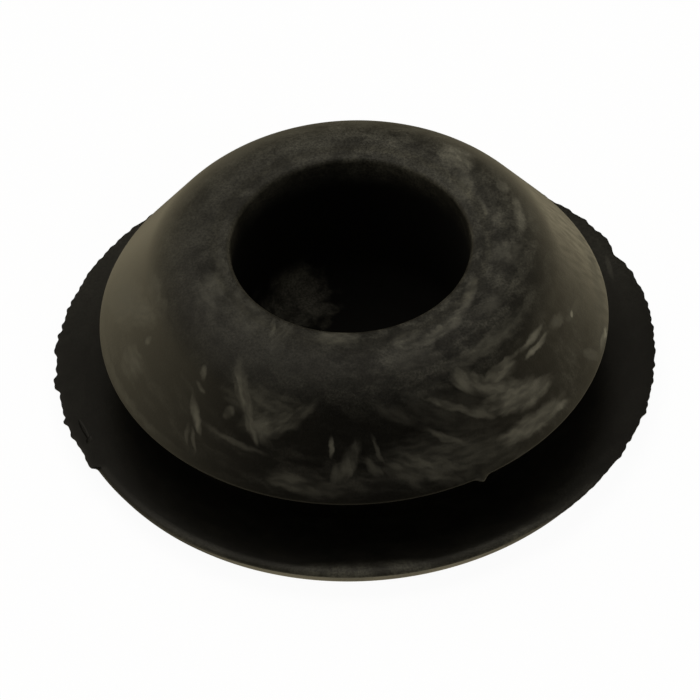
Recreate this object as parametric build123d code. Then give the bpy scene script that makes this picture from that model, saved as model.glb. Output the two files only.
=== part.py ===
from build123d import *

import os
from math import atan2, cos, degrees, exp, pi, radians, remainder, sin, tan

# Rubber blanking plug for a round hole in sheet metal, moulded in one piece.
#
# A thin flange covers the hole from one side. A conical nose is pushed through the hole, and the edge of
# the sheet is gripped in the groove between the two. A blind bore hollows the nose, so that it can fold
# inwards as it passes the hole. The parting line of the mould runs round the top edge of the flange, and
# leaves a thin fringe of flash there, ragged where it was torn off.
#
# Millimetres. The origin is the middle of the flange's flat underside, +Z points out of the nose, and the
# flash stands out furthest along X.

# The sheet's hole and the grip on its edge
hole_diameter = 22.0
groove_width = 2.85
lip_overhang = 1.9
flange_overlap = 3.95

# Flange
flange_thickness = 1.5
flange_draft = 27.0  # degrees that the outer edge leans in towards the underside
heel_radius = 1.4

# Nose
nose_height = 5.35
mouth_land = 3.3  # from the bore to where the cone would meet the flat top
shoulder_radius = 3.65
lip_edge = 0.12  # height of the blunt edge below the cone

# Blind bore
bore_diameter = 12.0
membrane_thickness = 1.5
mouth_radius = 0.3
floor_radius = 1.2

# Flash on the parting line
flash_thickness = 0.2
flash_least = 0.04
flash_side_reach = 0.26
flash_ripple = 0.05
flash_root = 0.4  # how deep the flash is rooted in the rim
flash_step = 0.24  # between points of the torn edge
tear_half_width = 1.5  # degrees
flash_tears = {  # degrees about the axis: how much more or less is left there
    10.0: 0.06, 25.0: -0.20, 29.5: 0.06, 36.5: 0.10, 45.0: -0.12, 135.0: -0.08,
    174.0: 0.14, 183.0: 0.12, 186.0: -0.06, 201.5: -0.06, 206.0: 0.08, 333.0: 0.06,
}

# Scrap of flash left on the nose's lip
tag_angle = -63.0  # degrees
tag_width = 0.55
tag_reach = 0.2
tag_root = 0.4
tag_thickness = 0.12

# Worked out from the sizes above
neck = hole_diameter / 2
bore = bore_diameter / 2
lip = neck + lip_overhang
rim = neck + flange_overlap
crown = bore + mouth_land
foot = rim - flange_thickness * tan(radians(flange_draft))
lip_height = flange_thickness + groove_width
top = lip_height + nose_height
cone_slope = degrees(atan2(nose_height - lip_edge, lip - crown))


def rounding(radius, turn, wall):
    """A corner radius, held back where the wall beside the corner is too short for it."""
    return min(radius, 0.9 * wall / tan(radians(turn / 2)))


def moulded_body():
    """The plug without its flash: one closed half section, turned about Z."""
    edge_height = flange_thickness - flash_thickness
    corners = [
        ((0, membrane_thickness), 0),
        ((bore, membrane_thickness), rounding(floor_radius, 90, bore)),
        ((bore, top), rounding(mouth_radius, 90, mouth_land)),
        ((crown, top), rounding(shoulder_radius, cone_slope, mouth_land - mouth_radius)),
        ((lip, lip_height + lip_edge), 0),
        ((lip, lip_height), 0),
        ((neck, lip_height), 0),
        ((neck, flange_thickness), 0),
        ((rim, flange_thickness), 0),
        ((foot, 0), rounding(heel_radius, 90 - flange_draft, edge_height)),
        ((0, 0), 0),
    ]
    points = [point for point, radius in corners]
    radii = [radius for point, radius in corners]
    section = make_face(FilletPolyline(*points, radius=radii, close=True))
    return revolve(Plane.XZ * section, Axis.Z, 360)


def flash_reach(turn):
    """How far the flash stands out of the rim at a turn about Z, in radians."""
    ripple = sin(97 * turn + sin(11 * turn)) + sin(163 * turn + 2 * sin(7 * turn))
    sideways = cos(turn) ** 4 * (1 + 1.2 * sin(turn))
    reach = flash_least + flash_side_reach * sideways
    reach += flash_ripple * (0.3 + 0.7 * sideways) * ripple / 2
    for angle, change in flash_tears.items():
        off = remainder(degrees(turn) - angle, 360) / tear_half_width
        reach += change * exp(-off * off)
    return max(reach, flash_least / 2)


def torn_flash():
    """A thin ring level with the flange's top, whose ragged edge stands out of the rim."""
    count = round(2 * pi * rim / flash_step)
    outline = []
    for step in range(count):
        turn = 2 * pi * step / count
        radius = rim + flash_reach(turn)
        outline.append((radius * cos(turn), radius * sin(turn)))
    fringe = make_face(Polyline(*outline, close=True)) - Circle(rim - flash_root)
    return Pos(0, 0, flange_thickness - flash_thickness) * extrude(fringe, flash_thickness)


def lip_tag():
    """A scrap of flash that hangs off the lip of the nose."""
    half = tag_width / 2
    base = lip - tag_root
    tip = lip + tag_reach
    outline = [(base, -half), (lip, -half), (tip, -half / 3), (tip, half / 2), (lip, half), (base, half)]
    scrap = Polyline(*outline, close=True)
    return Rot(0, 0, tag_angle) * Pos(0, 0, lip_height) * extrude(make_face(scrap), tag_thickness)


blanking_plug = moulded_body() + torn_flash() + lip_tag()

os.makedirs("parts", exist_ok=True)
export_step(blanking_plug, "parts/blanking_plug.step")
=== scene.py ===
from math import atan2, cos, degrees, exp, pi, radians, remainder, sin, sqrt, tan

import bpy
from mathutils import Matrix, Vector
from mathutils.kdtree import KDTree


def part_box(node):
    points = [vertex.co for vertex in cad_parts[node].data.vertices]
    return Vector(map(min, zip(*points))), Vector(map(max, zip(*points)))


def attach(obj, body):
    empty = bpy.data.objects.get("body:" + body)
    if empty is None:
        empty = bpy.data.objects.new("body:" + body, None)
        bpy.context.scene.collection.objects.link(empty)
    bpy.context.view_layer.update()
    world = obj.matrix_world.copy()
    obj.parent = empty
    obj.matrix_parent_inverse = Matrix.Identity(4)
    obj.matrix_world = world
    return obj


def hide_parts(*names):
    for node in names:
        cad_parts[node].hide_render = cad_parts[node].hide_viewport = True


# Rubber blanking plug: a thin flange, a groove, a hollow conical nose, and torn flash on the parting line.
# Metres, in the part's own frame: the origin is the middle of the flange's underside, +Z points out of the
# nose, and the front is towards -Y.

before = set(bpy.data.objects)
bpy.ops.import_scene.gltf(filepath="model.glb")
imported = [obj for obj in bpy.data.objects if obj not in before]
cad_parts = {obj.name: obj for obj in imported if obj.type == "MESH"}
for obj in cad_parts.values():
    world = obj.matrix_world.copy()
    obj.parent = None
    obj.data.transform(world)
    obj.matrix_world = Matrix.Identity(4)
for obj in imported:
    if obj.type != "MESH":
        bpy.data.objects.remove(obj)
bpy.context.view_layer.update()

MM = 0.001

# Sizes of the moulding
HOLE_DIAMETER = 22.0 * MM
GROOVE_WIDTH = 2.85 * MM
LIP_OVERHANG = 1.9 * MM
FLANGE_OVERLAP = 3.95 * MM
FLANGE_THICKNESS = 1.5 * MM
FLANGE_DRAFT = radians(27.0)
HEEL_RADIUS = 1.4 * MM
MOUTH_LAND = 3.3 * MM
SHOULDER_RADIUS = 3.65 * MM
LIP_EDGE = 0.12 * MM
BORE_DIAMETER = 12.0 * MM
MEMBRANE = 1.5 * MM
MOUTH_RADIUS = 0.3 * MM
FLOOR_RADIUS = 1.2 * MM

# Finer form of the lip and the rim
LIP_UNDERCUT = 0.10 * MM
LIP_UNDER_RADIUS = 0.05 * MM
LIP_UPPER_RADIUS = 0.12 * MM
RIM_ROUND_WIDTH = 0.45 * MM  # of the rim in front, where the flash came away clean
RIM_ROUND_DROP = 0.25 * MM

# Tag of rubber on the lip
LIP_TAG_TURN = -62.5  # degrees about the axis
LIP_TAG_HALF_WIDTH = 1.1  # degrees
LIP_TAG_REACH = 0.2 * MM
LIP_TAG_SAG = 0.6  # of its reach
LIP_TAG_DEPTH = 0.1 * MM  # how far from the lip's edge it pulls the skin along

# Flash on the parting line
FLASH_THICKNESS = 0.2 * MM
FLASH_TIP = 0.07 * MM
FLASH_LEAST = 0.04 * MM
FLASH_SIDE_REACH = 0.26 * MM
FLASH_RIPPLE = 0.05 * MM
CLEAN_RIM = (  # degrees about the axis: 1 where no flash is left
    (206.6, 0.0), (207.8, 1.0), (296.0, 1.0), (312.0, 0.0),
)
TEAR_HALF_WIDTH = 1.5  # degrees
FLASH_TEARS = {  # degrees about the axis: millimetres more or less left there
    10.0: 0.06, 25.0: -0.20, 29.5: 0.06, 36.5: 0.10, 45.0: -0.12, 135.0: -0.08,
    174.0: 0.14, 183.0: 0.12, 186.0: -0.06, 201.5: -0.06, 206.0: 0.08, 333.0: 0.06,
}
FINE_TEAR_HALF_WIDTH = 0.8  # degrees
FINE_TEARS = {  # the same, for the smallest teeth and nicks
    1.0: -0.07, 14.0: 0.12, 19.0: 0.05, 27.0: -0.11, 30.5: 0.07, 32.3: 0.10,
    152.0: 0.06, 157.5: -0.07, 163.0: 0.06, 170.5: 0.11, 173.0: 0.08,
    182.0: 0.08, 184.3: 0.09, 193.3: 0.15, 197.0: 0.09,
    324.0: -0.04, 327.0: -0.04, 329.6: 0.08, 333.2: -0.11,
    342.0: 0.12, 344.0: 0.08, 353.5: -0.08, 356.5: -0.06,
}

# How finely the skin is turned: one sector is spun and then doubled round the axis
TURNS = 960
DOUBLINGS = 4
EDGE_RINGS = 8  # in the rim's outer corner
HUB_RADIUS = 0.5 * MM  # of the one face that closes each end of the skin, on the axis
SAME_PLACE = 0.001 * MM
SMOOTH_UP_TO = radians(35)

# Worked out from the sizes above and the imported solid
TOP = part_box("blanking_plug")[1].z
NECK = HOLE_DIAMETER / 2
BORE = BORE_DIAMETER / 2
LIP = NECK + LIP_OVERHANG
RIM = NECK + FLANGE_OVERLAP
CROWN = BORE + MOUTH_LAND
LIP_HEIGHT = FLANGE_THICKNESS + GROOVE_WIDTH


# ---------------------------------------------------------------- the moulding

def straight(start, end, count):
    """Points from start towards end, without the last one."""
    (r0, z0), (r1, z1) = start, end
    return [(r0 + (r1 - r0) * i / count, z0 + (z1 - z0) * i / count) for i in range(count)]


def rounded(before, corner, after, radius, count):
    """The arc that rounds a corner of the half section, from one tangent point to the other."""
    corner = Vector(corner)
    inward = (Vector(before) - corner).normalized()
    outward = (Vector(after) - corner).normalized()
    half_angle = inward.angle(outward) / 2
    reach = radius / tan(half_angle)
    middle = (inward + outward).normalized()
    centre = corner + middle * (radius / sin(half_angle))
    first = corner + inward * reach - centre
    last = corner + outward * reach - centre
    sweep = first.angle(last)
    points = []
    for i in range(count + 1):
        share = i / count
        spoke = (first * sin((1 - share) * sweep) + last * sin(share * sweep)) / sin(sweep)
        points.append(tuple(centre + spoke))
    return points


def rounded_rim():
    """The rim's outer corner where it is clean: a low round from the drafted side up to the top."""
    widest = RIM - RIM_ROUND_DROP * tan(FLANGE_DRAFT)
    points = []
    for i in range(EDGE_RINGS):
        lean = radians(90) * i / (EDGE_RINGS - 1)
        inwards = RIM_ROUND_WIDTH * (1 - cos(lean))
        below = RIM_ROUND_DROP * (1 - sin(lean))
        points.append((widest - inwards, FLANGE_THICKNESS - below))
    return points


def flashed_rim(reach):
    """The same corner with flash on it: a tongue, level with the flange's top, that thins to its tip."""
    root = FLASH_THICKNESS
    tongue = (
        (-root * tan(FLANGE_DRAFT), -root), (-0.2 * root, -0.85 * root), (0.55 * reach, -0.70 * root),
        (reach, -0.55 * root), (reach, -0.55 * root + FLASH_TIP), (0.55 * reach, -0.10 * root),
        (-0.25 * root, -0.02 * root), (-1.5 * root, 0.0),
    )
    return [(RIM + out, FLANGE_THICKNESS + rise) for out, rise in tongue]


def half_section():
    """The half section as points of radius and height, from the underside's middle to the bore's floor."""
    under = (0.0, 0.0)
    foot = (RIM - FLANGE_THICKNESS * tan(FLANGE_DRAFT), 0.0)
    edge = rounded_rim()
    neck_low = (NECK, FLANGE_THICKNESS)
    neck_high = (NECK, LIP_HEIGHT)
    lip_low = (LIP - LIP_UNDERCUT, LIP_HEIGHT)
    lip_high = (LIP, LIP_HEIGHT + LIP_EDGE)
    crown = (CROWN, TOP)
    mouth = (BORE, TOP)
    floor_corner = (BORE, MEMBRANE)
    floor_middle = (0.0, MEMBRANE)

    heel = rounded(under, foot, (RIM, FLANGE_THICKNESS), HEEL_RADIUS, 10)
    lip_under = rounded(neck_high, lip_low, lip_high, LIP_UNDER_RADIUS, 2)
    lip_upper = rounded(lip_low, lip_high, crown, LIP_UPPER_RADIUS, 4)
    shoulder = rounded(lip_high, crown, mouth, SHOULDER_RADIUS, 14)
    mouth_edge = rounded(crown, mouth, floor_corner, MOUTH_RADIUS, 5)
    floor_round = rounded(mouth, floor_corner, floor_middle, FLOOR_RADIUS, 6)

    points = straight((HUB_RADIUS, 0.0), heel[0], 4)
    points += heel
    points += straight(heel[-1], edge[0], 2)[1:]
    points += edge
    points += straight(edge[-1], neck_low, 8)[1:]
    points += straight(neck_low, neck_high, 3)
    points += straight(neck_high, lip_under[0], 3)
    points += lip_under + lip_upper
    points += straight(lip_upper[-1], shoulder[0], 9)[1:]
    points += shoulder
    points += straight(shoulder[-1], mouth_edge[0], 3)[1:]
    points += mouth_edge
    points += straight(mouth_edge[-1], floor_round[0], 5)[1:]
    points += floor_round
    points += straight(floor_round[-1], (HUB_RADIUS, MEMBRANE), 3)[1:]
    points.append((HUB_RADIUS, MEMBRANE))
    return points


def deselect_all():
    """Leaves nothing selected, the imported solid's own object included."""
    bpy.ops.object.select_all(action="DESELECT")


def turned_skin(name, section):
    """Draws the half section as a chain of edges and turns it about Z into one closed skin."""
    deselect_all()
    bpy.ops.mesh.primitive_plane_add(size=MM, location=(0, 0, 0))
    skin = bpy.context.object
    skin.name = name
    skin.data.name = name
    bpy.ops.object.mode_set(mode="EDIT")
    bpy.ops.mesh.select_all(action="SELECT")
    bpy.ops.mesh.merge(type="CENTER")
    radius, height = section[0]
    bpy.ops.transform.translate(value=(radius, 0, height))
    for (r0, z0), (r1, z1) in zip(section, section[1:]):
        bpy.ops.mesh.extrude_region_move(TRANSFORM_OT_translate={"value": (r1 - r0, 0, z1 - z0)})

    sector = 2 * pi / 2 ** DOUBLINGS
    bpy.ops.mesh.select_all(action="SELECT")
    bpy.ops.mesh.spin(steps=TURNS // 2 ** DOUBLINGS, angle=sector, center=(0, 0, 0), axis=(0, 0, 1))
    for _ in range(DOUBLINGS):
        bpy.ops.mesh.select_all(action="SELECT")
        bpy.ops.mesh.duplicate()
        bpy.ops.transform.rotate(value=sector, orient_axis="Z", center_override=(0, 0, 0))
        sector *= 2
    bpy.ops.mesh.select_all(action="SELECT")
    bpy.ops.mesh.remove_doubles(threshold=SAME_PLACE)

    bpy.ops.mesh.select_all(action="DESELECT")
    bpy.ops.mesh.select_non_manifold()
    bpy.ops.mesh.edge_face_add()
    bpy.ops.mesh.select_all(action="SELECT")
    bpy.ops.mesh.normals_make_consistent(inside=False)
    bpy.ops.object.mode_set(mode="OBJECT")
    return skin


def flash_reach(turn):
    """How far the torn flash stands out from the rim at an angle about the axis."""
    ripple = sin(97 * turn + sin(11 * turn)) + sin(163 * turn + 2 * sin(7 * turn))
    sideways = cos(turn) ** 4 * (1 + 1.2 * sin(turn))
    reach = FLASH_LEAST + FLASH_SIDE_REACH * sideways
    reach += FLASH_RIPPLE * (0.3 + 0.7 * sideways) * ripple / 2
    for tears, half_width in ((FLASH_TEARS, TEAR_HALF_WIDTH), (FINE_TEARS, FINE_TEAR_HALF_WIDTH)):
        for angle, change in tears.items():
            off = remainder(degrees(turn) - angle, 360) / half_width
            reach += change * MM * exp(-off * off)
    return max(reach, FLASH_LEAST / 2)


def ring_numbers(skin, section):
    """For each point of the skin, the point of the half section that it was turned from."""
    rings = KDTree(len(section))
    for index, (radius, height) in enumerate(section):
        rings.insert((radius, 0, height), index)
    rings.balance()
    numbers = []
    for vertex in skin.data.vertices:
        x, y, z = vertex.co
        numbers.append(rings.find((sqrt(x * x + y * y), 0, z))[1])
    return numbers


def clean_share(turn):
    """1 where the rim is clean, 0 where flash is left on it."""
    angle = degrees(turn) % 360
    for (first, low), (last, high) in zip(CLEAN_RIM, CLEAN_RIM[1:]):
        if first <= angle <= last:
            share = (angle - first) / (last - first)
            return low + (high - low) * share * share * (3 - 2 * share)
    return 0.0


def tear_flash(skin, rings, section):
    """Shapes the rim's outer corner: torn flash at the sides and behind, a small clean round in front."""
    first = section.index(rounded_rim()[0])
    for vertex, ring in zip(skin.data.vertices, rings):
        step = ring - first
        if not 0 <= step < EDGE_RINGS:
            continue
        x, y, _ = vertex.co
        turn = atan2(y, x)
        clean = clean_share(turn)
        reach = flash_reach(turn) * (1 - clean)
        tongue = flashed_rim(reach)[step]
        bare = section[ring]
        radius = tongue[0] + (bare[0] - tongue[0]) * clean
        vertex.co.x = radius * cos(turn)
        vertex.co.y = radius * sin(turn)
        vertex.co.z = tongue[1] + (bare[1] - tongue[1]) * clean


def tag_lip(skin, rings, section):
    """A small tag of rubber left standing out from the lip's edge, right of the front."""
    for vertex, ring in zip(skin.data.vertices, rings):
        radius, height = section[ring]
        if radius < LIP - LIP_TAG_DEPTH or abs(height - LIP_HEIGHT) > LIP_EDGE + LIP_TAG_DEPTH:
            continue
        x, y, _ = vertex.co
        off = remainder(degrees(atan2(y, x)) - LIP_TAG_TURN, 360) / LIP_TAG_HALF_WIDTH
        if abs(off) > 3:
            continue
        grown = LIP_TAG_REACH * exp(-off * off)
        vertex.co.x += x / radius * grown
        vertex.co.y += y / radius * grown
        vertex.co.z -= grown * LIP_TAG_SAG


def wrap_skin(skin, rings, section):
    """Lays a map on the skin: across is the turn from back to back, up is the way along the section."""
    way = [0.0]
    for (r0, z0), (r1, z1) in zip(section, section[1:]):
        way.append(way[-1] + sqrt((r1 - r0) ** 2 + (z1 - z0) ** 2))
    layer = skin.data.uv_layers.new(name="wrap")
    vertices = skin.data.vertices
    for face in skin.data.polygons:
        side = 1 if face.center.x > 0 else -1
        for loop, index in zip(face.loop_indices, face.vertices):
            x, y, z = vertices[index].co
            turn = atan2(x, -y)
            if turn * side < -0.01:
                turn += 2 * pi * side
            layer.data[loop].uv = (0.5 + turn / (2 * pi), way[rings[index]] / way[-1])
    return way


# ---------------------------------------------------------------- materials

def put(tree, kind, **values):
    """A node with its plain settings and its sockets' values filled in."""
    node = tree.nodes.new(kind)
    for name, value in values.items():
        if hasattr(node, name):
            setattr(node, name, value)
        else:
            node.inputs[name.replace("_", " ")].default_value = value
    return node


def join(tree, source, target):
    """Links an output socket to an input socket."""
    tree.links.new(source, target)


def feed(tree, socket, term):
    """Gives a socket a plain number or a link."""
    if isinstance(term, (int, float)):
        socket.default_value = term
    else:
        tree.links.new(term, socket)


def arithmetic(tree, operation, *terms, clamp=False):
    """A Math node on terms that are numbers or sockets; returns its result."""
    node = tree.nodes.new("ShaderNodeMath")
    node.operation = operation
    node.use_clamp = clamp
    for socket, term in zip(node.inputs, terms):
        feed(tree, socket, term)
    return node.outputs[0]


def spread(tree, value, low, high, to_low=0.0, to_high=1.0):
    """Smoothly spreads a value between two limits over another range."""
    node = tree.nodes.new("ShaderNodeMapRange")
    node.interpolation_type = "SMOOTHSTEP"
    for name, term in (("Value", value), ("From Min", low), ("From Max", high),
                       ("To Min", to_low), ("To Max", to_high)):
        feed(tree, node.inputs[name], term)
    return node.outputs["Result"]


def product(tree, first, *others):
    """Numbers or sockets multiplied together."""
    for term in others:
        first = arithmetic(tree, "MULTIPLY", first, term)
    return first


def added(tree, total, amount, share=1.0):
    """A total with a share of an amount added to it."""
    return arithmetic(tree, "MULTIPLY_ADD", amount, share, total)


def noise(tree, vector, scale, detail, roughness, distortion=0.0):
    """A Noise Texture node; scale is per unit of the vector."""
    node = put(tree, "ShaderNodeTexNoise", Scale=scale, Detail=detail)
    node.inputs["Roughness"].default_value = roughness
    node.inputs["Distortion"].default_value = distortion
    tree.links.new(vector, node.inputs["Vector"])
    return node.outputs


def group_tree(name, inputs, outputs):
    """An empty node group with its named sockets; returns the tree and its two end nodes."""
    tree = bpy.data.node_groups.new(name, "ShaderNodeTree")
    for socket, kind in inputs.items():
        tree.interface.new_socket(socket, in_out="INPUT", socket_type=kind)
    for socket, kind in outputs.items():
        tree.interface.new_socket(socket, in_out="OUTPUT", socket_type=kind)
    return tree, tree.nodes.new("NodeGroupInput"), tree.nodes.new("NodeGroupOutput")


def combine(tree, *terms):
    """A vector from three numbers or sockets."""
    node = tree.nodes.new("ShaderNodeCombineXYZ")
    for socket, term in zip(node.inputs, terms):
        feed(tree, socket, term)
    return node.outputs[0]


MARK_NOISE = (1.0, 1.5, 0.45)  # scale, detail and roughness
MARK_CONTRAST = (0.28, 0.72)

# A smear's edge lies between an outer and an inner oval, and its feathering moves the two apart
OUTER_EDGE = 1.0
OUTER_FEATHERED = 1.2
INNER_EDGE = 0.6
INNER_FEATHERED = -0.9
EDGE_RAGGED = 0.5  # by the brush marks, for each unit of feathering
LEAST_FILL = 0.45  # between the brush marks
FILL_OF_MARKS = 0.5
FILL_WHERE_FADED = 0.8  # in the middle of a smear that fades across


def oval_patch_group():
    """One pale patch, of rubbed bloom or of painted highlight: a tilted oval, feathered by brush marks and
    laid over those before it.
    """
    tree, given, result = group_tree(
        "oval patch",
        {"Before": "NodeSocketFloat", "Turn": "NodeSocketFloat", "Down": "NodeSocketFloat",
         "Brush Marks": "NodeSocketFloat", "At Turn": "NodeSocketFloat", "At Down": "NodeSocketFloat",
         "Tilt": "NodeSocketFloat", "Half Length": "NodeSocketFloat", "Half Width": "NodeSocketFloat",
         "Feather": "NodeSocketFloat", "Fade": "NodeSocketFloat", "Strength": "NodeSocketFloat"},
        {"Mask": "NodeSocketFloat"})
    value = given.outputs
    cosine = arithmetic(tree, "COSINE", value["Tilt"])
    sine = arithmetic(tree, "SINE", value["Tilt"])
    aside = arithmetic(tree, "SUBTRACT", value["Turn"], value["At Turn"])
    below = arithmetic(tree, "SUBTRACT", value["Down"], value["At Down"])
    along = added(tree, product(tree, aside, cosine), below, sine)
    along = arithmetic(tree, "DIVIDE", along, value["Half Length"])
    across = arithmetic(tree, "SUBTRACT", product(tree, below, cosine), product(tree, aside, sine))
    across = arithmetic(tree, "DIVIDE", across, value["Half Width"])
    distance = added(tree, product(tree, along, along), across, across)
    bare = product(tree, arithmetic(tree, "SUBTRACT", 0.5, value["Brush Marks"]), value["Feather"])
    distance = added(tree, distance, bare, EDGE_RAGGED)
    outer = added(tree, OUTER_EDGE, value["Feather"], OUTER_FEATHERED)
    inner = added(tree, INNER_EDGE, value["Feather"], INNER_FEATHERED)
    patch = spread(tree, distance, outer, inner)
    filled = added(tree, LEAST_FILL, value["Brush Marks"], FILL_OF_MARKS)
    fade = arithmetic(tree, "MULTIPLY_ADD", across, value["Fade"], FILL_WHERE_FADED, clamp=True)
    mask = product(tree, patch, filled, fade, value["Strength"])
    join(tree, arithmetic(tree, "MAXIMUM", mask, value["Before"]), result.inputs["Mask"])
    return tree


def brush_marks_group():
    """Streaks that run one way over the wrapped surface, long along the stroke and fine across it."""
    tree, given, result = group_tree(
        "brush marks",
        {"Surface": "NodeSocketVector", "Tilt": "NodeSocketVector", "Mark Size": "NodeSocketVector"},
        {"Marks": "NodeSocketFloat"})
    turned = put(tree, "ShaderNodeMapping", vector_type="TEXTURE")
    join(tree, given.outputs["Surface"], turned.inputs["Vector"])
    join(tree, given.outputs["Tilt"], turned.inputs["Rotation"])
    join(tree, given.outputs["Mark Size"], turned.inputs["Scale"])
    marks = noise(tree, turned.outputs[0], *MARK_NOISE)["Fac"]
    join(tree, spread(tree, marks, *MARK_CONTRAST), result.inputs["Marks"])
    return tree
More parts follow.
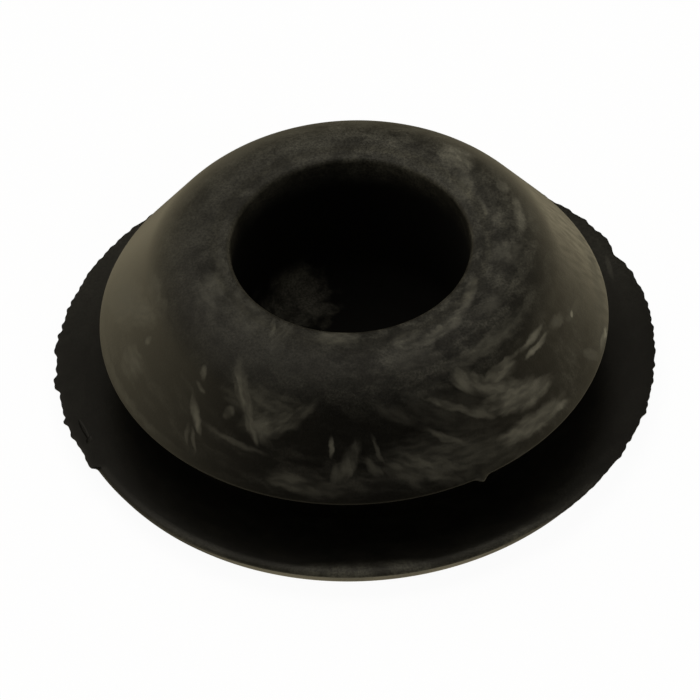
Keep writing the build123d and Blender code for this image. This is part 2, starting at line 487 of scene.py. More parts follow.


# Pale smears of bloom on the nose, and one painted highlight along the lip's edge: degrees round from the
# front, millimetres down from the bore's mouth, tilt of the stroke in degrees, half length and half width
# in millimetres, feathering of its edge, fading across it, and strength
SMEARS_AND_LIP_HIGHLIGHT = (
    # a wedge left of the front, with a fainter arm that rises from its foot and a haze between the two
    (-31.2, 5.05, 50.0, 1.90, 0.40, 0.9, 0.5, 0.60),
    (-28.5, 6.15, 52.0, 0.75, 0.26, 1.0, 0.3, 0.65),
    (-33.5, 4.45, 10.0, 0.80, 0.45, 1.3, 0.0, 0.10),
    (-24.0, 5.75, -20.0, 1.10, 0.50, 1.3, 0.0, 0.60),
    (-18.5, 5.35, -42.0, 1.30, 0.28, 1.3, 0.0, 0.40),
    (-27.0, 4.9, 0.0, 1.60, 0.60, 1.5, 0.0, 0.35),
    # a curved stroke with its tail, spots above it and scratches below
    (-49.5, 5.85, 22.0, 0.75, 0.10, 0.9, 0.0, 0.10),
    (-44.5, 6.85, 56.0, 0.85, 0.19, 0.7, 0.0, 0.85),
    (-47.0, 4.8, 70.0, 0.30, 0.16, 1.2, 0.0, 0.55),
    (-46.0, 5.5, 15.0, 0.30, 0.12, 1.0, 0.0, 0.50),
    (-44.7, 7.95, 70.0, 0.42, 0.12, 1.0, 0.0, 0.30),
    (-42.4, 8.05, 62.0, 0.45, 0.10, 1.0, 0.0, 0.45),
    (-33.5, 7.2, 6.0, 1.35, 0.15, 1.2, 0.0, 0.30),
    (-27.0, 7.3, 6.0, 0.50, 0.14, 1.2, 0.0, 0.15),
    (-35.5, 5.95, 30.0, 0.20, 0.28, 1.4, 0.0, 0.45),
    (-17.0, 8.40, 6.0, 0.80, 0.42, 1.0, 0.0, 0.40),
    (-9.5, 8.6, 0.0, 1.00, 0.35, 1.5, 0.0, 0.25),
    # soft spots far round on the left
    (-70.0, 5.9, 0.0, 0.17, 0.20, 1.2, 0.0, 0.60),
    (-70.5, 7.5, 0.0, 0.65, 0.55, 1.5, 0.0, 0.50),
    (-78.0, 5.4, -20.0, 0.90, 0.50, 1.5, 0.0, 0.60),
    (-88.0, 6.6, -35.0, 1.80, 0.80, 1.6, 0.0, 0.65),
    (-80.0, 4.3, 0.0, 1.30, 0.40, 1.6, 0.0, 0.30),
    (96.0, 8.6, 0.0, 2.60, 0.50, 1.5, 0.0, 0.40),
    # a painted highlight along the lip's edge on the left
    (-68.0, 8.95, 0.0, 3.20, 0.16, 1.4, 0.0, 0.20),
    # the fan at the front
    (-7.2, 6.45, 82.0, 0.48, 0.12, 0.8, 0.0, 0.80),
    (-3.3, 7.35, 113.0, 1.10, 0.30, 1.1, 0.0, 0.40),
    (-6.0, 7.9, 100.0, 0.50, 0.20, 1.2, 0.0, 0.30),
    (4.4, 6.7, 75.0, 0.68, 0.10, 0.9, 0.0, 0.30),
    (3.2, 7.6, 60.0, 0.45, 0.22, 1.2, 0.0, 0.30),
    (10.0, 7.9, 30.0, 0.90, 0.45, 1.5, 0.0, 0.35),
    (15.5, 8.0, 42.0, 1.20, 0.38, 1.4, 0.0, 0.50),
    (24.0, 7.9, 20.0, 2.20, 0.85, 1.6, 0.0, 0.30),
    (25.0, 5.6, 33.0, 2.00, 0.90, 1.6, 0.0, 0.15),
    (-2.0, 8.2, 0.0, 2.40, 0.50, 1.6, 0.0, 0.10),
    (-50.0, 0.95, 10.0, 2.40, 0.75, 1.6, 0.0, 0.20),
    # streaks that run down to the right
    (10.0, 5.0, 30.0, 0.95, 0.30, 1.4, 0.0, 0.20),
    (26.0, 5.45, 33.0, 1.30, 0.22, 1.2, 0.0, 0.60),
    (23.5, 5.95, 35.0, 1.10, 0.14, 1.1, 0.0, 0.10),
    (32.5, 6.25, 33.0, 0.90, 0.28, 1.2, 0.0, 0.55),
    (23.0, 7.0, 40.0, 1.10, 0.18, 1.1, 0.0, 0.45),
    (29.0, 7.9, 45.0, 0.80, 0.24, 1.3, 0.0, 0.25),
    (20.0, 8.0, 38.0, 0.80, 0.26, 1.3, 0.0, 0.35),
    (32.0, 4.5, 60.0, 0.70, 0.50, 1.3, 0.0, 0.75),
    # the large patch on the right, the strip below it and the double stroke beside it
    (39.0, 5.55, 35.0, 1.20, 0.50, 1.4, 0.0, 0.75),
    (42.5, 5.1, 5.0, 0.90, 0.32, 1.3, 0.0, 0.85),
    (43.5, 6.6, 20.0, 1.30, 0.60, 1.4, 0.0, 1.00),
    (48.0, 7.0, 8.0, 1.10, 0.38, 1.3, 0.0, 1.00),
    (46.0, 4.8, 2.0, 0.85, 0.11, 0.9, 0.0, 0.55),
    (44.5, 8.3, 5.0, 1.70, 0.42, 1.0, 0.0, 0.95),
    (52.5, 8.6, 12.0, 0.80, 0.20, 0.8, 0.0, 1.00),
    (57.4, 4.95, 0.0, 0.98, 0.18, 0.6, 0.0, 1.15),
    (57.9, 5.45, 2.0, 0.98, 0.18, 0.6, 0.0, 1.30),
    (69.0, 5.7, 15.0, 0.62, 0.24, 1.2, 0.0, 0.55),
    (75.4, 6.4, 0.0, 0.17, 0.15, 0.5, 0.0, 1.75),
    (77.0, 6.5, 20.0, 0.80, 0.20, 1.2, 0.0, 0.30),
    (71.0, 8.55, 60.0, 0.50, 0.22, 1.0, 0.0, 0.75),
    (27.0, 9.35, 0.0, 0.28, 0.14, 0.8, 0.0, 0.25),
    (78.5, 9.1, 2.0, 0.62, 0.15, 0.8, 0.0, 2.10),
    # round the bore's mouth and on the shoulder
    (-8.0, 0.55, -4.0, 1.45, 0.36, 1.3, 0.0, 0.45),
    (-36.0, 0.9, 48.0, 0.60, 0.16, 1.1, 0.0, 0.35),
    (-31.0, 1.0, 80.0, 0.90, 0.60, 1.4, 0.0, 0.25),
    (-68.0, 1.55, 20.0, 1.50, 0.60, 1.6, 0.0, 0.30),
    (-81.0, 0.5, 0.0, 1.40, 0.30, 1.4, 0.0, 0.25),
    (20.0, 1.25, -10.0, 0.90, 0.40, 1.4, 0.0, 0.25),
    (18.5, 2.45, 8.0, 1.30, 0.45, 1.5, 0.0, 0.20),
    (34.0, 1.65, -4.0, 2.50, 0.26, 1.2, 0.0, 0.45),
    (54.0, 1.05, -8.0, 1.20, 0.24, 1.2, 0.0, 0.50),
    (61.0, 0.75, -8.0, 0.80, 0.20, 1.2, 0.0, 0.45),
    (56.5, 2.25, 0.0, 1.10, 0.34, 1.3, 0.0, 0.25),
    (46.0, 3.6, 2.0, 2.60, 0.34, 1.4, 0.0, 0.40),
    (82.0, 1.8, 5.0, 0.95, 0.75, 1.4, 0.0, 0.30),
    (101.5, 2.75, 6.0, 1.35, 0.26, 1.0, 0.0, 0.65),
    (116.0, 2.75, 15.0, 0.60, 0.28, 1.1, 0.0, 0.60),
    (108.5, 1.1, 4.0, 0.85, 0.12, 1.0, 0.0, 0.40),
    (101.0, 1.55, 20.0, 0.40, 0.22, 1.1, 0.0, 0.25),
    (124.5, 1.2, 22.0, 1.60, 0.42, 1.3, 0.0, 0.35),
    (137.0, 2.2, 10.0, 1.20, 0.55, 1.3, 0.0, 0.75),
)
FLANGE_MARKS = (  # millimetres right and back of the axis, tilt in degrees, half length and half width
    (-13.87, -4.15, -70.0, 0.58, 0.09),  # a short cut on the left
    (-13.62, -4.87, 70.0, 0.20, 0.09),  # the hook at its end
    (13.25, 5.62, -83.0, 0.80, 0.13),  # a pale scrape on the right
)
FLANGE_MARK_FEATHER = 0.6
CUT_CLEARS = -0.9  # of the pale bloom
CUT_DEPTH = -9.0  # in heights of the grain
SCRAPE_BLOOM = 0.045

BRUSH_TILTS = (-40.0, 5.0, 35.0, 60.0, 90.0)  # degrees: the ways that brush marks run
DOWN_THE_SLOPE = 90.0
MARK_SIZE = (0.9, 0.34, 1.0)  # millimetres along a stroke and across it
NOSE_MIDDLE = 10.5  # radius at which the wrapped nose is measured, in millimetres
WANDER = 0.36  # millimetres that the map wanders, so that no smear has a ruled edge

# Noises on the rubber: scale, detail, roughness and distortion
WANDER_NOISE = (1.5, 2.0, 0.5)
GRAIN_NOISE = (9.0, 3.0, 0.6)
CLOUD_NOISE = (0.5, 4.0, 0.6, 0.4)
BLOTCH_NOISE = (1.0, 3.0, 0.55, 0.3)
BLOTCH_SIZE = (1.5, 0.6, 1.0)
BLOTCH_TILT = radians(8)
BORE_HIGHLIGHT_NOISE = (0.9, 3.0, 0.6)

# How the bloom changes over the rubber. Each range is from, to, and the amounts at those two. Places are in
# millimetres: X to the right, Y to the back, Z up, radius from the axis, down from the bore's mouth.
CLOUDY = (0.33, 0.66, 0.35, 1.0)
BLOTCHY = (0.42, 0.72)
TOP_HAZE_BY_Z = (7.6, 9.65, 0.0, 0.044)
TOP_HAZE_BY_Y = (-7.0, 9.5, 0.72, 2.2)
MOTTLED_BY_X = (-5.0, 5.0, 0.25, 1.0)
MOTTLED = 1.35
LOW_SLOPE_HAZE = (5.8, 7.4, 0.0, 0.020)
LOW_SLOPE_ENDS = (9.3, 8.7)
FILM_BY_DOWN = (-0.6, 0.4, 0.0, 0.005)
FLANGE_BY_Z = (2.6, 2.2)
FLANGE_BY_RADIUS = (9.0, 11.0)
FLANGE_HAZE_BY_Y = (0.0, 8.0, 0.0, 0.022)
RIGHT_SLOPE_BY_X = (7.0, 11.0, 0.0, 0.09)
SLOPE_BEGINS = (4.0, 5.0)
SLOPE_ENDS = (9.4, 9.0)
STREAKS_BY_CLOUD = (0.40, 0.62, 0.05, 0.8)
GRAINY = (0.3, 0.7, 0.5, 1.5)

# Painted light on the clean rim in front: a paler lit band; near the middle the band is wider, and left of
# it narrower
PAINTED_RIM_LIGHT_BY_RADIUS = (14.2, 15.05, 0.0, 0.15)
PAINTED_RIM_LIGHT_BY_Y = (-8.5, -12.5)
PAINTED_RIM_LIGHT_WIDER = (12.0, 0.0, 0.0, 0.32)  # by the square of X
PAINTED_RIM_LIGHT_NARROWER = (-2.0, -5.0, 0.0, -0.14)

# A painted highlight in the bore, on the left of its floor and towards the back
BORE_HIGHLIGHT_X = -3.1
BORE_HIGHLIGHT_Y = 4.0
BORE_HIGHLIGHT_BY_DISTANCE = (10.0, 0.0)  # by the square of it
BORE_HIGHLIGHT_RAGGED = (0.3, 0.7, 0.0, 7.0)
BORE_HIGHLIGHT_BY_Z = (3.6, 2.0, 0.0, 0.09)
BORE_HIGHLIGHT_BY_DOWN = (-1.0, -3.0)

# Colour and finish of the rubber
SMEAR_AND_HIGHLIGHT_STRENGTH = 0.42
RUBBER_COLOUR = (0.0013, 0.0012, 0.0010, 1)
# the pale colour of the bloom, also used for the painted light on the rim, in the bore and along the lip
BLOOM_AND_PAINTED_LIGHT_COLOUR = (0.30, 0.285, 0.215, 1)
ROUGHNESS_BY_BLOOM = (0.0, 0.3, 0.44, 0.75)
FLANGE_ROUGHNESS = -0.08
BORE_ROUGHNESS_BY_DOWN = (0.2, -0.8, 0.0, 0.45)
STREAK_MIDDLE = 0.4
SPECULAR_LEVEL = 0.35
GRAIN_BUMP = 0.3
GRAIN_DEPTH = 0.02 * MM


def wrapped_place(tree, surface, section_way, mouth_way):
    """Millimetres round from the front and down from the bore's mouth, read from the skin's map."""
    wrap = put(tree, "ShaderNodeUVMap", uv_map="wrap")
    wrapped = tree.nodes.new("ShaderNodeSeparateXYZ")
    join(tree, wrap.outputs[0], wrapped.inputs[0])
    round_way = 2 * pi * NOSE_MIDDLE
    turn = arithmetic(tree, "MULTIPLY_ADD", wrapped.outputs["X"], round_way, -round_way / 2)
    down = arithmetic(tree, "MULTIPLY_ADD", wrapped.outputs["Y"], -section_way / MM, mouth_way / MM)
    wander = tree.nodes.new("ShaderNodeSeparateColor")
    join(tree, noise(tree, surface, *WANDER_NOISE)["Color"], wander.inputs[0])
    aside = arithmetic(tree, "MULTIPLY_ADD", wander.outputs[0], WANDER, -WANDER / 2)
    below = arithmetic(tree, "MULTIPLY_ADD", wander.outputs[1], WANDER, -WANDER / 2)
    return arithmetic(tree, "ADD", turn, aside), arithmetic(tree, "ADD", down, below)


def brush_marks(tree, laid_flat):
    """Brush marks over the whole skin, once for each way that they run."""
    group = brush_marks_group()
    marks = {}
    for tilt in BRUSH_TILTS:
        node = tree.nodes.new("ShaderNodeGroup")
        node.node_tree = group
        join(tree, laid_flat, node.inputs["Surface"])
        node.inputs["Tilt"].default_value = (0, 0, radians(tilt))
        node.inputs["Mark Size"].default_value = MARK_SIZE
        marks[tilt] = node.outputs["Marks"]
    return marks


def lay_patch(tree, group, values):
    """One node of the oval patch group with its numbers and links filled in; returns its mask."""
    node = tree.nodes.new("ShaderNodeGroup")
    node.node_tree = group
    for name, value in values.items():
        feed(tree, node.inputs[name], value)
    return node.outputs["Mask"]


def smears_and_lip_highlight(tree, group, turn, down, marks):
    """The mask of all the pale smears of bloom on the nose and of the painted highlight along the lip's
    edge, each laid over those before it.
    """
    smears_and_highlight = 0.0
    for at_turn, at_down, tilt, half_length, half_width, feather, fade, strength in SMEARS_AND_LIP_HIGHLIGHT:
        nearest = min(BRUSH_TILTS, key=lambda other: abs(remainder(other - tilt, 180)))
        smears_and_highlight = lay_patch(tree, group, {
            "Before": smears_and_highlight, "Turn": turn, "Down": down, "Brush Marks": marks[nearest],
            "At Turn": radians(at_turn) * NOSE_MIDDLE, "At Down": at_down, "Tilt": radians(tilt),
            "Half Length": half_length, "Half Width": half_width,
            "Feather": feather, "Fade": fade, "Strength": strength,
        })
    return smears_and_highlight


def marks_on_flange(tree, group, across, back, flange):
    """Masks of the cut and of the pale scrape on the flange's top."""
    masks = []
    for at_x, at_y, tilt, half_length, half_width in FLANGE_MARKS:
        mask = lay_patch(tree, group, {
            "Turn": across, "Down": back, "Brush Marks": 1.0,
            "At Turn": at_x, "At Down": at_y, "Tilt": radians(tilt),
            "Half Length": half_length, "Half Width": half_width,
            "Feather": FLANGE_MARK_FEATHER, "Strength": 1.0,
        })
        masks.append(product(tree, mask, flange))
    cut, hook, scrape = masks
    return arithmetic(tree, "MAXIMUM", cut, hook), scrape


def painted_rim_light(tree, across, back, radius, cloudy):
    """Painted light: the paler lit band along the clean rim in front."""
    place = added(tree, radius, spread(tree, product(tree, across, across), *PAINTED_RIM_LIGHT_WIDER))
    place = added(tree, place, spread(tree, across, *PAINTED_RIM_LIGHT_NARROWER))
    lit_band = spread(tree, place, *PAINTED_RIM_LIGHT_BY_RADIUS)
    return product(tree, lit_band, spread(tree, back, *PAINTED_RIM_LIGHT_BY_Y), cloudy)


def painted_bore_highlight(tree, surface, across, back, height, down):
    """A painted highlight on the bore's floor, a patch with a ragged edge."""
    aside = arithmetic(tree, "SUBTRACT", across, BORE_HIGHLIGHT_X)
    beyond = arithmetic(tree, "SUBTRACT", back, BORE_HIGHLIGHT_Y)
    distance = added(tree, product(tree, aside, aside), beyond, beyond)
    ragged = noise(tree, surface, *BORE_HIGHLIGHT_NOISE)["Fac"]
    distance = added(tree, distance, spread(tree, ragged, *BORE_HIGHLIGHT_RAGGED))
    highlight = spread(tree, distance, *BORE_HIGHLIGHT_BY_DISTANCE)
    return product(tree, highlight, spread(tree, height, *BORE_HIGHLIGHT_BY_Z), spread(tree, down, *BORE_HIGHLIGHT_BY_DOWN))


def rubber_material(section_way, mouth_way):
    """Nearly black rubber under a thin pale bloom that is clouded, brushed and rubbed off in places, with
    painted light in the same pale colour: a lit band on the front rim and highlights in the bore and along
    the lip.
    """
    material = bpy.data.materials.new("moulded rubber")
    material.use_nodes = True
    tree = material.node_tree
    tree.nodes.clear()
    millimetres = put(tree, "ShaderNodeMapping", vector_type="POINT")
    millimetres.inputs["Scale"].default_value = (1 / MM, 1 / MM, 1 / MM)
    join(tree, tree.nodes.new("ShaderNodeTexCoord").outputs["Object"], millimetres.inputs["Vector"])
    surface = millimetres.outputs["Vector"]
    place = tree.nodes.new("ShaderNodeSeparateXYZ")
    join(tree, surface, place.inputs[0])
    across, back, height = place.outputs
    radius = arithmetic(tree, "SQRT", added(tree, product(tree, across, across), back, back))
    turn, down = wrapped_place(tree, surface, section_way, mouth_way)
    laid_flat = combine(tree, turn, down, 0.0)
    marks = brush_marks(tree, laid_flat)
    patch_group = oval_patch_group()
    smears_and_highlight = smears_and_lip_highlight(tree, patch_group, turn, down, marks)

    # haze on the top of the nose, clouded all over, mottled on the right, stronger behind
    grain = noise(tree, surface, *GRAIN_NOISE)["Fac"]
    cloud = noise(tree, surface, *CLOUD_NOISE)["Fac"]
    cloudy = spread(tree, cloud, *CLOUDY)
    blotches = put(tree, "ShaderNodeMapping", vector_type="TEXTURE")
    join(tree, laid_flat, blotches.inputs["Vector"])
    blotches.inputs["Rotation"].default_value = (0, 0, BLOTCH_TILT)
    blotches.inputs["Scale"].default_value = BLOTCH_SIZE
    blotchy = spread(tree, noise(tree, blotches.outputs[0], *BLOTCH_NOISE)["Fac"], *BLOTCHY)
    on_top = spread(tree, height, *TOP_HAZE_BY_Z)
    haze_and_painted_light = product(tree, cloudy, on_top, spread(tree, back, *TOP_HAZE_BY_Y))
    mottled = product(tree, blotchy, spread(tree, across, *MOTTLED_BY_X), on_top)
    haze_and_painted_light = added(tree, haze_and_painted_light, mottled, MOTTLED)
    # a patchy band low on the slope, and a thin film all over the nose and the flange
    low_slope = product(tree, spread(tree, down, *LOW_SLOPE_HAZE), spread(tree, down, *LOW_SLOPE_ENDS))
    haze_and_painted_light = added(tree, haze_and_painted_light, low_slope, blotchy)
    film = spread(tree, down, *FILM_BY_DOWN)
    haze_and_painted_light = added(tree, haze_and_painted_light, film, arithmetic(tree, "ADD", cloudy, blotchy))
    # the back of the flange, the streaky right of the slope, a painted lit band on the front rim and a
    # painted highlight in the bore
    flange = product(tree, spread(tree, height, *FLANGE_BY_Z), spread(tree, radius, *FLANGE_BY_RADIUS))
    haze_and_painted_light = added(tree, haze_and_painted_light, spread(tree, back, *FLANGE_HAZE_BY_Y), flange)
    slope = product(tree, spread(tree, down, *SLOPE_BEGINS), spread(tree, down, *SLOPE_ENDS))
    right_slope = product(tree, spread(tree, across, *RIGHT_SLOPE_BY_X), slope)
    streaks = product(tree, marks[DOWN_THE_SLOPE], spread(tree, cloud, *STREAKS_BY_CLOUD))
    haze_and_painted_light = added(tree, haze_and_painted_light, right_slope, streaks)
    # painted light: the lit band along the clean rim in front
    haze_and_painted_light = added(tree, haze_and_painted_light, painted_rim_light(tree, across, back, radius, cloudy))
    # painted highlight on the left of the bore's floor
    haze_and_painted_light = added(tree, haze_and_painted_light, painted_bore_highlight(tree, surface, across, back, height, down))
    haze_and_painted_light = product(tree, haze_and_painted_light, spread(tree, grain, *GRAINY))

    cut, scrape = marks_on_flange(tree, patch_group, across, back, flange)
    # the smears carry the painted highlight along the lip's edge as well as bloom
    pale = arithmetic(tree, "MULTIPLY_ADD", smears_and_highlight, SMEAR_AND_HIGHLIGHT_STRENGTH, haze_and_painted_light, clamp=True)
    pale = arithmetic(tree, "MULTIPLY_ADD", scrape, SCRAPE_BLOOM, pale, clamp=True)
    pale = product(tree, pale, added(tree, 1.0, cut, CUT_CLEARS))
    colour = put(tree, "ShaderNodeMix", data_type="RGBA")
    # the colour sockets of a Mix node share their names with its number sockets, so they are taken by place
    colour.inputs[6].default_value = RUBBER_COLOUR
    colour.inputs[7].default_value = BLOOM_AND_PAINTED_LIGHT_COLOUR
    join(tree, pale, colour.inputs["Factor"])

    bump = put(tree, "ShaderNodeBump", Strength=GRAIN_BUMP, Distance=GRAIN_DEPTH)
    join(tree, added(tree, grain, cut, CUT_DEPTH), bump.inputs["Height"])

    # bloom is duller than bare rubber, the right of the slope varies with its streaks, the bore is dullest
    roughness = spread(tree, pale, *ROUGHNESS_BY_BLOOM)
    roughness = added(tree, roughness, flange, FLANGE_ROUGHNESS)
    streaky = arithmetic(tree, "SUBTRACT", marks[DOWN_THE_SLOPE], STREAK_MIDDLE)
    roughness = added(tree, roughness, right_slope, streaky)
    roughness = added(tree, roughness, spread(tree, down, *BORE_ROUGHNESS_BY_DOWN))

    shader = tree.nodes.new("ShaderNodeBsdfPrincipled")
    shader.inputs["Specular IOR Level"].default_value = SPECULAR_LEVEL
    join(tree, colour.outputs[2], shader.inputs["Base Color"])
    join(tree, bump.outputs["Normal"], shader.inputs["Normal"])
    join(tree, roughness, shader.inputs["Roughness"])
    output = tree.nodes.new("ShaderNodeOutputMaterial")
    join(tree, shader.outputs[0], output.inputs["Surface"])
    return material


# ---------------------------------------------------------------- floor, light and camera

WALL_COLOUR = (1.0, 0.875, 0.58, 1)
CEILING_COLOUR = (1.0, 0.92, 0.76, 1)
FLOOR_SIZE = 6.0
FLOOR_COLOUR = (0.9, 0.9, 0.9, 1)
WHITE = (1, 1, 1, 1)
FLOOR_WHITENESS = 0.955  # for the camera; the rest keeps the plug's shadow

# How brightly the floor shows in the rubber. Each range is from, to, and the brightness at those two.
# Places are in metres: X to the right, Y to the back, side is either way from the middle.
GLOW_BY_Y = (-0.20, -0.03, 0.12, 0.95)
GLOW_BY_X = (  # darker or brighter past each of these lines
    (-0.015, -0.0175, 1.0, 0.64),
    (-0.025, -0.045, 1.0, 1.157),
    (0.014, 0.018, 1.0, 1.12),
    (0.020, 0.034, 1.0, 0.32),
)
GLOW_BY_SIDE = (0.0115, 0.0150, 0.75, 1.35)
SHADE_BEHIND_BY_SIDE = (0.005, 0.02, 0.5, 1.0)
SHADE_BEHIND_BY_Y = (0.0, 0.01)
SHADE_BY_RADIUS = (0.015, 0.022, 0.3, 1.0)
LIT_IN_FRONT_BY_Y = (-0.010, -0.014, 0.0, 0.95)
FAR_BEHIND_BY_Y = (0.018, 0.030)
FAR_BEHIND_BY_SIDE = (0.028, 0.018)
FAR_BEHIND_DARKER = -0.30
IN_FRONT_BY_Y = (-0.0175, -0.022)
IN_FRONT_ENDS_BY_Y = (-0.08, -0.05)
IN_FRONT_BY_SIDE = (0.05, 0.03)
IN_FRONT_DARKER = -0.8

# The studio by direction: from, to, and how bright it is at those two. X to the right, Y to the back, Z up.
LEFT_WALL_BY_X = (-0.15, -0.7, 0.4, 1.05)
RIGHT_WALL_BY_X = (0.3, 0.6, 0.0, 1.5)
RIGHT_WALL_ENDS_BY_X = (0.55, 0.9, 1.0, 0.25)
RIGHT_WALL_BY_Z = (0.5, 0.2)
LOW_WALL_BY_Z = (0.35, 0.0, 0.27, 0.9)
LOW_WALL_BY_Y = (0.72, 0.95, 1.0, 0.5)
OVERHEAD_BY_Z = (0.55, 0.95, 0.0, 0.26)
OVERHEAD_BY_Y = (-0.3, 0.3, 0.3, 1.0)
HIGH_LEFT_BY_Z = (0.35, 0.65)
HIGH_LEFT_BY_X = (0.05, -0.35, 0.0, 0.24)
DARK_FRONT_BY_Z = (0.0, 0.8, 0.03, 0.05)
FRONT_BY_Y = (-0.1, -0.65)
CEILING_BY_Z = (0.1, 0.6)

LAMP_COLOUR = (1.0, 0.985, 0.96)
SOFTBOXES = (  # azimuth in degrees, elevation, distance in metres, size, energy in watts
    ("overhead softbox", 195, 66, 0.7, 0.6, 3.3),
    ("front fill", 25, 48, 0.8, 0.35, 1.6),
)

CAMERA_LENS = 327.4
CAMERA_SHIFT = (-0.0083, 0.0103)
CAMERA_ELEVATION = radians(46.2)
CAMERA_DISTANCE = 0.324
CAMERA_TARGET = Vector((0, 0, FLANGE_THICKNESS))
CAMERA_ROLL = radians(-2.69)


def mixed_shader(tree, share, first, second):
    """Two shaders mixed; a share of 1 is all of the second."""
    node = tree.nodes.new("ShaderNodeMixShader")
    feed(tree, node.inputs["Fac"], share)
    join(tree, first.outputs[0], node.inputs[1])
    join(tree, second.outputs[0], node.inputs[2])
    return node


def floor_glow(tree):
    """How brightly each place on the floor shows in the rubber."""
    place = tree.nodes.new("ShaderNodeSeparateXYZ")
    join(tree, tree.nodes.new("ShaderNodeTexCoord").outputs["Object"], place.inputs[0])
    across, back, _ = place.outputs
    side = arithmetic(tree, "ABSOLUTE", across)
    glow = spread(tree, back, *GLOW_BY_Y)
    # in the plug's own shade: darker close behind it, and close round it apart from the front
    shade = arithmetic(tree, "SUBTRACT", spread(tree, side, *SHADE_BEHIND_BY_SIDE), 1.0)
    shade = added(tree, 1.0, shade, spread(tree, back, *SHADE_BEHIND_BY_Y))
    radius = arithmetic(tree, "SQRT", added(tree, product(tree, across, across), back, back))
    close = spread(tree, radius, *SHADE_BY_RADIUS)
    close = arithmetic(tree, "MAXIMUM", close, spread(tree, back, *LIT_IN_FRONT_BY_Y))
    glow = product(tree, glow, shade, close, spread(tree, side, *GLOW_BY_SIDE))
    for step in GLOW_BY_X:
        glow = product(tree, glow, spread(tree, across, *step))
    far_behind = spread(tree, back, *FAR_BEHIND_BY_Y)
    far_behind = product(tree, far_behind, spread(tree, side, *FAR_BEHIND_BY_SIDE))
    glow = product(tree, glow, added(tree, 1.0, far_behind, FAR_BEHIND_DARKER))
    in_front = product(tree, spread(tree, back, *IN_FRONT_BY_Y), spread(tree, back, *IN_FRONT_ENDS_BY_Y))
    in_front = product(tree, in_front, spread(tree, side, *IN_FRONT_BY_SIDE))
    return product(tree, glow, added(tree, 1.0, in_front, IN_FRONT_DARKER))


def make_floor():
    """A large white floor that keeps a faint shadow, and shows in the rubber as a warm, uneven table."""
    deselect_all()
    bpy.ops.mesh.primitive_plane_add(size=FLOOR_SIZE, location=(0, 0, 0))
    floor = bpy.context.object
    floor.name = "floor"
    material = bpy.data.materials.new("white floor")
    material.use_nodes = True
    tree = material.node_tree
    tree.nodes.clear()
    path = tree.nodes.new("ShaderNodeLightPath").outputs
    matt = put(tree, "ShaderNodeBsdfDiffuse", Color=FLOOR_COLOUR)
    white = put(tree, "ShaderNodeEmission", Color=WHITE, Strength=1.0)
    seen = mixed_shader(tree, product(tree, path["Is Camera Ray"], FLOOR_WHITENESS), matt, white)
    reflected = put(tree, "ShaderNodeEmission", Color=WALL_COLOUR)
    join(tree, floor_glow(tree), reflected.inputs["Strength"])
    in_gloss = arithmetic(tree, "MAXIMUM", path["Is Glossy Ray"], path["Is Transmission Ray"])
    mixed = mixed_shader(tree, in_gloss, seen, reflected)
    output = tree.nodes.new("ShaderNodeOutputMaterial")
    join(tree, mixed.outputs[0], output.inputs["Surface"])
    floor.data.materials.append(material)


def make_world():
    """A studio that is bright low down behind and at the sides, dim overhead and dark in front."""
    world = bpy.data.worlds.new("studio")
    world.use_nodes = True
    bpy.context.scene.world = world
    tree = world.node_tree
    tree.nodes.clear()
    direction = tree.nodes.new("ShaderNodeSeparateXYZ")
    join(tree, tree.nodes.new("ShaderNodeTexCoord").outputs["Generated"], direction.inputs[0])
    across, back, height = direction.outputs
    right = product(tree, spread(tree, across, *RIGHT_WALL_BY_X), spread(tree, height, *RIGHT_WALL_BY_Z))
    right = product(tree, right, spread(tree, across, *RIGHT_WALL_ENDS_BY_X))
    sides = added(tree, spread(tree, across, *LEFT_WALL_BY_X), right)
    bright = product(tree, spread(tree, height, *LOW_WALL_BY_Z), sides, spread(tree, back, *LOW_WALL_BY_Y))
    overhead = product(tree, spread(tree, height, *OVERHEAD_BY_Z), spread(tree, back, *OVERHEAD_BY_Y))
    high_left = product(tree, spread(tree, height, *HIGH_LEFT_BY_Z), spread(tree, across, *HIGH_LEFT_BY_X))
    bright = added(tree, added(tree, bright, overhead), high_left)
    level = put(tree, "ShaderNodeMix", data_type="FLOAT")
    join(tree, spread(tree, back, *FRONT_BY_Y), level.inputs[0])
    join(tree, bright, level.inputs[2])
    join(tree, spread(tree, height, *DARK_FRONT_BY_Z), level.inputs[3])
    tint = put(tree, "ShaderNodeMix", data_type="RGBA")
    tint.inputs[6].default_value = WALL_COLOUR
    tint.inputs[7].default_value = CEILING_COLOUR
    join(tree, spread(tree, height, *CEILING_BY_Z), tint.inputs["Factor"])
    studio = tree.nodes.new("ShaderNodeBackground")
    join(tree, tint.outputs[2], studio.inputs["Color"])
    join(tree, level.outputs[0], studio.inputs["Strength"])
    white = put(tree, "ShaderNodeBackground", Color=WHITE, Strength=1.0)
    camera_ray = tree.nodes.new("ShaderNodeLightPath").outputs["Is Camera Ray"]
    mixed = mixed_shader(tree, camera_ray, studio, white)
    output = tree.nodes.new("ShaderNodeOutputWorld")
    join(tree, mixed.outputs[0], output.inputs["Surface"])


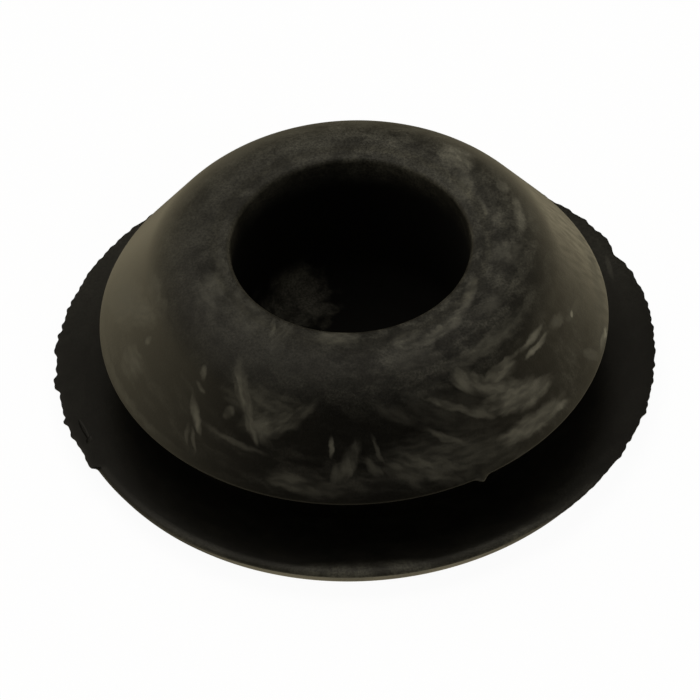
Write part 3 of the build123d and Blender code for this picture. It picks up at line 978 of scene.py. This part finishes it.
def make_softbox(name, azimuth, elevation, distance, size, energy):
    """A broad soft lamp that leaves no hot spot; azimuth 0 is in front, + to the right."""
    light = bpy.data.lights.new(name, "AREA")
    light.shape = "SQUARE"
    light.size = size
    light.energy = energy
    light.color = LAMP_COLOUR
    lamp = bpy.data.objects.new(name, light)
    bpy.context.collection.objects.link(lamp)
    turn = radians(azimuth)
    rise = radians(elevation)
    lamp.location = Vector((sin(turn) * cos(rise), -cos(turn) * cos(rise), sin(rise))) * distance
    lamp.rotation_euler = (-lamp.location).to_track_quat("-Z", "Y").to_euler()
    lamp.visible_glossy = False


def make_camera():
    """A long lens, 46 degrees up and in front."""
    data = bpy.data.cameras.new("camera")
    data.sensor_width = 36.0
    data.lens = CAMERA_LENS
    data.shift_x, data.shift_y = CAMERA_SHIFT
    data.clip_start = 0.01
    camera = bpy.data.objects.new("camera", data)
    bpy.context.collection.objects.link(camera)
    way = Vector((0, -cos(CAMERA_ELEVATION), sin(CAMERA_ELEVATION)))
    camera.location = CAMERA_TARGET + way * CAMERA_DISTANCE
    turn = (-way).to_track_quat("-Z", "Y")
    roll = Matrix.Rotation(CAMERA_ROLL, 3, "Z")
    camera.rotation_euler = (turn.to_matrix() @ roll).to_euler()
    bpy.context.scene.camera = camera


def make_plug():
    """The plug's skin, torn, tagged and wrapped, in its rubber."""
    section = half_section()
    plug = turned_skin("plug_skin", section)
    rings = ring_numbers(plug, section)
    way = wrap_skin(plug, rings, section)
    tear_flash(plug, rings, section)
    tag_lip(plug, rings, section)
    flat_top = [point for point in section if abs(point[1] - TOP) < SAME_PLACE]
    mouth = section.index(min(flat_top))
    plug.data.materials.append(rubber_material(way[-1], way[mouth] + MOUTH_RADIUS))
    deselect_all()
    plug.select_set(True)
    bpy.context.view_layer.objects.active = plug
    bpy.ops.object.shade_smooth_by_angle(angle=SMOOTH_UP_TO)
    return plug


bpy.context.scene.view_settings.view_transform = "Standard"

plug = make_plug()
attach(plug, "root")
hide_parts("blanking_plug")

make_floor()
make_world()
for softbox in SOFTBOXES:
    make_softbox(*softbox)
make_camera()
